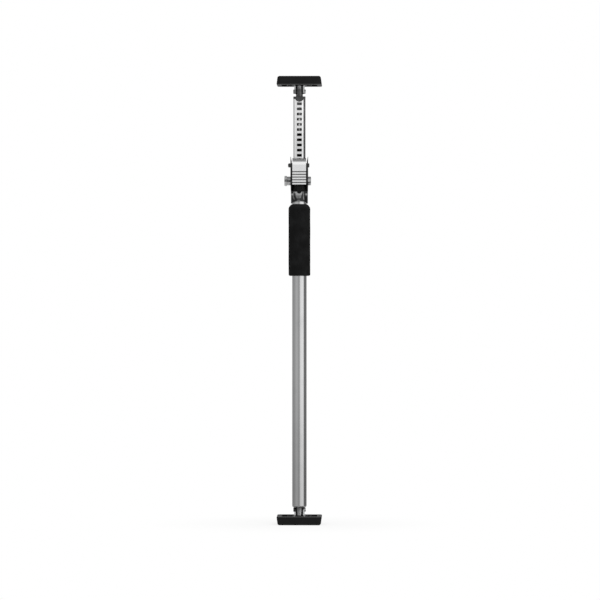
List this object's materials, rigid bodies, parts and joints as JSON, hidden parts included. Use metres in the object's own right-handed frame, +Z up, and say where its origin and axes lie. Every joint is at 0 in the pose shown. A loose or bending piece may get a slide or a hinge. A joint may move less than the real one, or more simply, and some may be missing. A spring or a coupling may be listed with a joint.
{
  "type": "telescopic ceiling support",
  "caption": "Telescopic prop that braces between floor and ceiling: swivelling rubber pads at both ends, a foam-gripped tube and a slotted bar that a thumb lever locks.",
  "frame": {"origin": "middle of the foot pad's contact face, on the floor", "axes": "+Z up along the tube, -Y to the front where the slots and the lever are, +X to the right"},
  "size_m": [0.0776, 0.0776, 0.7727],
  "materials": {
    "black_rubber": "matte moulded rubber",
    "plate_steel": "black dipped sheet",
    "ear_steel": "zinc plate, pressed",
    "rivet_steel": "zinc plate",
    "pin_steel": "zinc plate",
    "friction_nylon": "dark nylon",
    "black_pin_steel": "black oxide",
    "stud_steel": "dark plated, turned",
    "tube_steel": "satin zinc plate",
    "black_nylon": "moulded nylon",
    "black_foam": "closed-cell foam",
    "housing_steel": "bright zinc plate",
    "bolt_steel": "zinc plate",
    "lock_nut_steel": "zinc plate, knurled edge",
    "lever_steel": "bright zinc plate",
    "spring_steel": "spring wire",
    "bar_steel": "bright zinc plate",
    "plug_nylon": "dark grey nylon"
  },
  "bodies": {
    "tube": {"outer_tube": "tube_steel", "foot_plug": "black_nylon", "foot_plug_rivet": "rivet_steel", "foam_grip": "black_foam", "ratchet_housing": "housing_steel", "housing_rivet": "rivet_steel", "guide_bush": "black_nylon", "cross_bolt": "bolt_steel", "cross_bolt_nut": "bolt_steel", "cross_bolt_lock_nut": "lock_nut_steel", "bolt_sleeve": "black_nylon", "lever_pin": "black_pin_steel", "lever_pin_cap": "black_pin_steel", "lever_pin_spacers": "black_nylon", "lever_spring": "spring_steel"},
    "foot_stud": {"foot_swivel_stud": "stud_steel", "foot_stud_clip": "rivet_steel"},
    "foot": {"foot_pad": "black_rubber", "foot_plate": "plate_steel", "foot_ear_left": "ear_steel", "foot_ear_right": "ear_steel", "foot_ear_rivets": "rivet_steel", "foot_pivot_pin": "pin_steel", "foot_pin_cap": "pin_steel", "foot_friction_plates": "friction_nylon"},
    "bar": {"slotted_bar": "bar_steel", "bar_glide": "black_nylon", "bar_glide_rivet": "rivet_steel", "head_plug": "plug_nylon", "head_plug_rivet": "rivet_steel"},
    "head_stud": {"head_swivel_stud": "stud_steel", "head_stud_clip": "rivet_steel"},
    "head": {"head_pad": "black_rubber", "head_plate": "plate_steel", "head_ear_left": "ear_steel", "head_ear_right": "ear_steel", "head_ear_rivets": "rivet_steel", "head_pivot_pin": "pin_steel", "head_pin_cap": "pin_steel", "head_friction_plates": "friction_nylon"},
    "lever": {"release_lever": "lever_steel"}
  },
  "joints": [
    {"name": "foot_swivel", "type": "hinge", "parent": "tube", "child": "foot_stud", "pos_m": [0, 0, 0.0252], "axis": [0, 0, 1], "continuous": true},
    {"name": "foot_tilt", "type": "hinge", "parent": "foot_stud", "child": "foot", "pos_m": [0, 0, 0.0252], "axis": [1, 0, 0], "range_deg": [-45, 45]},
    {"name": "bar_slide", "type": "slide", "parent": "tube", "child": "bar", "axis": [0, 0, 1], "range_m": [-0.0979, 0.3293]},
    {"name": "head_swivel", "type": "hinge", "parent": "bar", "child": "head_stud", "pos_m": [0, 0, 0.7475], "axis": [0, 0, 1], "continuous": true},
    {"name": "head_tilt", "type": "hinge", "parent": "head_stud", "child": "head", "pos_m": [0, 0, 0.7475], "axis": [1, 0, 0], "range_deg": [-45, 45]},
    {"name": "lever_press", "type": "hinge", "parent": "tube", "child": "lever", "pos_m": [0, -0.011, 0.6196], "axis": [1, 0, 0], "range_deg": [0, 12.5], "stiffness_Nm_per_rad": 0.4, "springref_deg": -22.92, "deforming": ["lever_spring"]}
  ]
}
